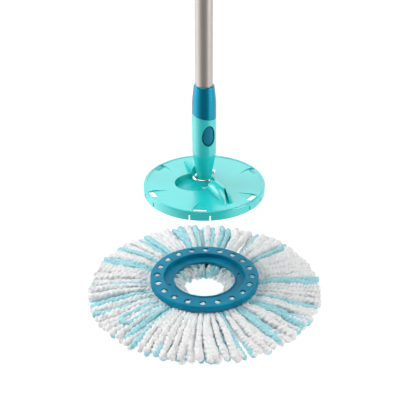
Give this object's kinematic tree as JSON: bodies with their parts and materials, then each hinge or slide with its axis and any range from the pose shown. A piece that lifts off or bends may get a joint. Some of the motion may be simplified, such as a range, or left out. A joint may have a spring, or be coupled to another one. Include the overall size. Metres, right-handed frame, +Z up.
{
  "type": "spin mop",
  "caption": "Spin mop with a telescopic steel handle, twisted-rod spin drive, release button, two-axis wire joint, clip-on disc and a round microfibre yarn head.",
  "frame": {"origin": "on the floor under the middle of the mop head", "axes": "+Z up along the handle, -Y the front with the release button and the front hump"},
  "size_m": [0.33, 0.33, 1.4343],
  "materials": {
    "mint_plastic": "smooth moulded, semi-gloss",
    "blue_plastic": "smooth moulded, semi-gloss",
    "grey_plastic": "moulded",
    "mint_grip": "fine matte",
    "satin_steel": "satin, fine lines along the tube",
    "spring_steel": "drawn",
    "bright_wire": "bright drawn wire",
    "white_fibre": "looped microfibre cord",
    "aqua_fibre": "looped microfibre cord"
  },
  "bodies": {
    "upper_handle": {"upper_tube": "satin_steel", "bottom_bush": "grey_plastic", "twisted_rod": "spring_steel", "rod_anchor": "grey_plastic", "anchor_pin": "spring_steel", "hand_grip": "mint_grip", "end_cap": "blue_plastic"},
    "lock_collar": {"lock_collar": "blue_plastic"},
    "guide": {"guide_bush": "grey_plastic"},
    "lower_handle": {"lower_tube": "satin_steel", "snap_ring_top": "spring_steel", "snap_ring_bottom": "spring_steel", "clutch_seat": "grey_plastic", "drive_nut": "grey_plastic", "clutch_spring": "spring_steel", "clutch_cap": "grey_plastic", "click_collar": "blue_plastic", "handle_socket": "mint_plastic", "button_spring": "spring_steel"},
    "button": {"release_button": "blue_plastic"},
    "wire": {"joint_wire": "bright_wire"},
    "plate": {"mop_plate": "mint_plastic"},
    "mop_head": {"clamp_ring": "blue_plastic", "counter_ring": "blue_plastic", "white_yarn_01": "white_fibre", "aqua_yarn_01": "aqua_fibre", "white_yarn_02": "white_fibre", "aqua_yarn_02": "aqua_fibre", "white_yarn_03": "white_fibre", "aqua_yarn_03": "aqua_fibre", "white_yarn_04": "white_fibre", "aqua_yarn_04": "aqua_fibre", "white_yarn_05": "white_fibre", "aqua_yarn_05": "aqua_fibre", "white_yarn_06": "white_fibre", "aqua_yarn_06": "aqua_fibre", "white_yarn_07": "white_fibre", "aqua_yarn_07": "aqua_fibre", "white_yarn_08": "white_fibre", "aqua_yarn_08": "aqua_fibre", "white_yarn_09": "white_fibre", "aqua_yarn_09": "aqua_fibre", "white_yarn_10": "white_fibre", "aqua_yarn_10": "aqua_fibre"}
  },
  "joints": [
    {"name": "spin_lock", "type": "hinge", "parent": "upper_handle", "child": "lock_collar", "pos_m": [0, 0, 0.6703], "axis": [0, 0, 1], "range_deg": [0, 60]},
    {"name": "spin_pump", "type": "slide", "parent": "upper_handle", "child": "guide", "axis": [0, 0, 1], "range_m": [0, 0.24]},
    {"name": "tube_spin", "type": "hinge", "parent": "guide", "child": "lower_handle", "pos_m": [0, 0, 0.7348], "axis": [0, 0, 1], "range_deg": [0, 720]},
    {"name": "button_press", "type": "slide", "parent": "lower_handle", "child": "button", "axis": [0, 1, 0], "range_m": [0, 0.003], "stiffness_N_per_m": 800, "springref_m": -0.002, "deforming": ["button_spring"]},
    {"name": "socket_tilt", "type": "hinge", "parent": "lower_handle", "child": "wire", "pos_m": [0, 0, 0.1899], "axis": [1, 0, 0], "range_deg": [-30, 30]},
    {"name": "plate_tilt", "type": "hinge", "parent": "wire", "child": "plate", "pos_m": [0, 0, 0.1899], "axis": [0, 1, 0], "range_deg": [-65, 65]},
    {"name": "head_release", "type": "slide", "parent": "plate", "child": "mop_head", "axis": [0, 0, 1], "range_m": [0, 0.1461]}
  ],
  "couplings": [
    {"joint": "tube_spin", "follows": "spin_pump", "rad_per_m": 52.36}
  ]
}
